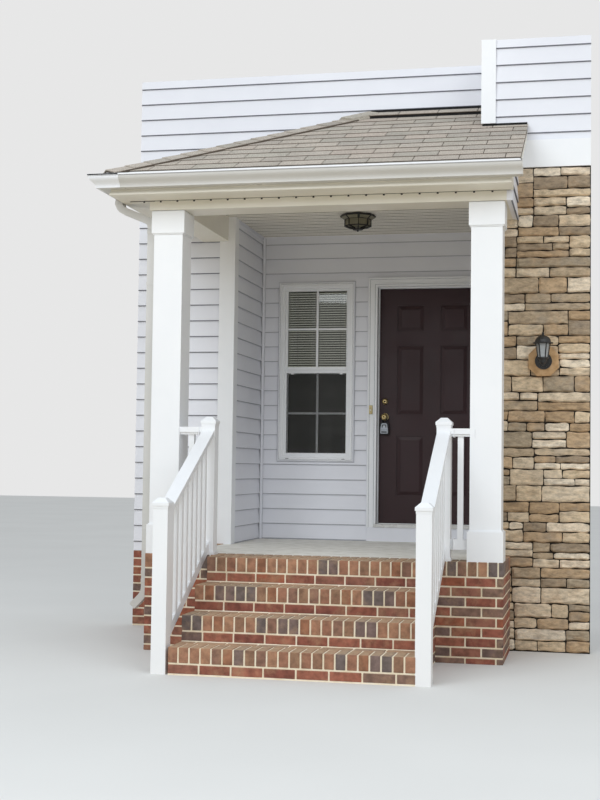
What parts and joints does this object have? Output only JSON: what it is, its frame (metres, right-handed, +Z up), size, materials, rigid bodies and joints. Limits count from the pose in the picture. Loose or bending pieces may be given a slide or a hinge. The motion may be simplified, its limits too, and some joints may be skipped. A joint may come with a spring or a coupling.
{
  "type": "entrance porch",
  "caption": "Raised entrance porch with brick steps, square columns, hipped shingle roof, recessed panelled door that opens, and a sash window.",
  "frame": {"origin": "on the ground under the face of the main wall, midway between the columns", "axes": "+X to the right along the facade, +Y into the house, +Z up"},
  "size_m": [3.6, 3.516, 4.42],
  "materials": {
    "brick": "mixed red, brown and dark bricks with pale mortar",
    "concrete": "trowelled concrete",
    "white_trim": "smooth white vinyl",
    "white_siding": "white vinyl lap siding",
    "cream_metal": "off-white coated aluminium",
    "ceiling_boards": "cream beaded boards",
    "shingles": "grey-brown mineral shingles",
    "black_metal": "black painted metal",
    "lamp_glass": "clear and frosted glass",
    "ledgestone": "dry-stacked split stone",
    "stone_block": "cast stone",
    "window_glass": "clear glass",
    "screen": "fine insect mesh",
    "blind": "slatted blind",
    "sill_metal": "mill finish",
    "door_paint": "dark maroon-brown paint",
    "brass": "polished",
    "grey_metal": "grey coated metal"
  },
  "bodies": {
    "porch": {"porch_foundation": "brick", "porch_floor": "concrete", "brick_steps": "brick", "left_column": "white_trim", "right_column": "white_trim", "front_beam": "cream_metal", "left_beam": "cream_metal", "right_beam": "cream_metal", "gable_wall": "white_siding", "front_roof": "shingles", "left_roof": "shingles", "roof_flashing": "black_metal", "fascia": "cream_metal", "soffit": "cream_metal", "gutter": "cream_metal", "left_gutter": "cream_metal", "downspout": "cream_metal", "porch_ceiling": "ceiling_boards", "ceiling_light": "black_metal", "ceiling_light_glass": "lamp_glass", "wall_base": "brick", "main_wall": "white_siding", "upper_main_wall": "white_siding", "corner_boards": "white_trim", "left_recess_wall": "white_siding", "window_wall": "white_siding", "wall_over_door": "white_siding", "wall_under_door": "brick", "wall_beside_door": "white_siding", "wing_side_wall": "white_siding", "stone_wall": "ledgestone", "wing_upper_wall": "white_siding", "frieze_board": "white_trim", "window_trim": "white_trim", "window_frame": "white_trim", "window_sashes": "white_trim", "window_glass": "window_glass", "window_screen": "screen", "window_blind": "blind", "door_frame": "white_trim", "door_sill": "sill_metal", "kick_board": "white_siding", "door_hinges": "brass", "doorbell": "brass", "left_newels": "white_trim", "right_newels": "white_trim", "left_stair_rail": "white_trim", "right_stair_rail": "white_trim", "left_guard_rail": "white_trim", "right_guard_rail": "white_trim", "lantern_block": "stone_block", "wall_lantern": "black_metal", "lantern_glass": "lamp_glass"},
    "door": {"door_leaf": "door_paint", "knob_rose": "brass", "deadbolt": "brass", "key_box": "grey_metal"},
    "knob": {"door_knob": "brass"}
  },
  "joints": [
    {"name": "door_swing", "type": "hinge", "parent": "porch", "child": "door", "pos_m": [0.9405, 1.085, 1.823], "axis": [0, 0, -1], "range_deg": [0, 90]},
    {"name": "knob_turn", "type": "hinge", "parent": "door", "child": "knob", "pos_m": [0.078, 1.055, 1.722], "axis": [0, 1, 0], "range_deg": [-45, 45], "stiffness_Nm_per_rad": 0.4}
  ]
}
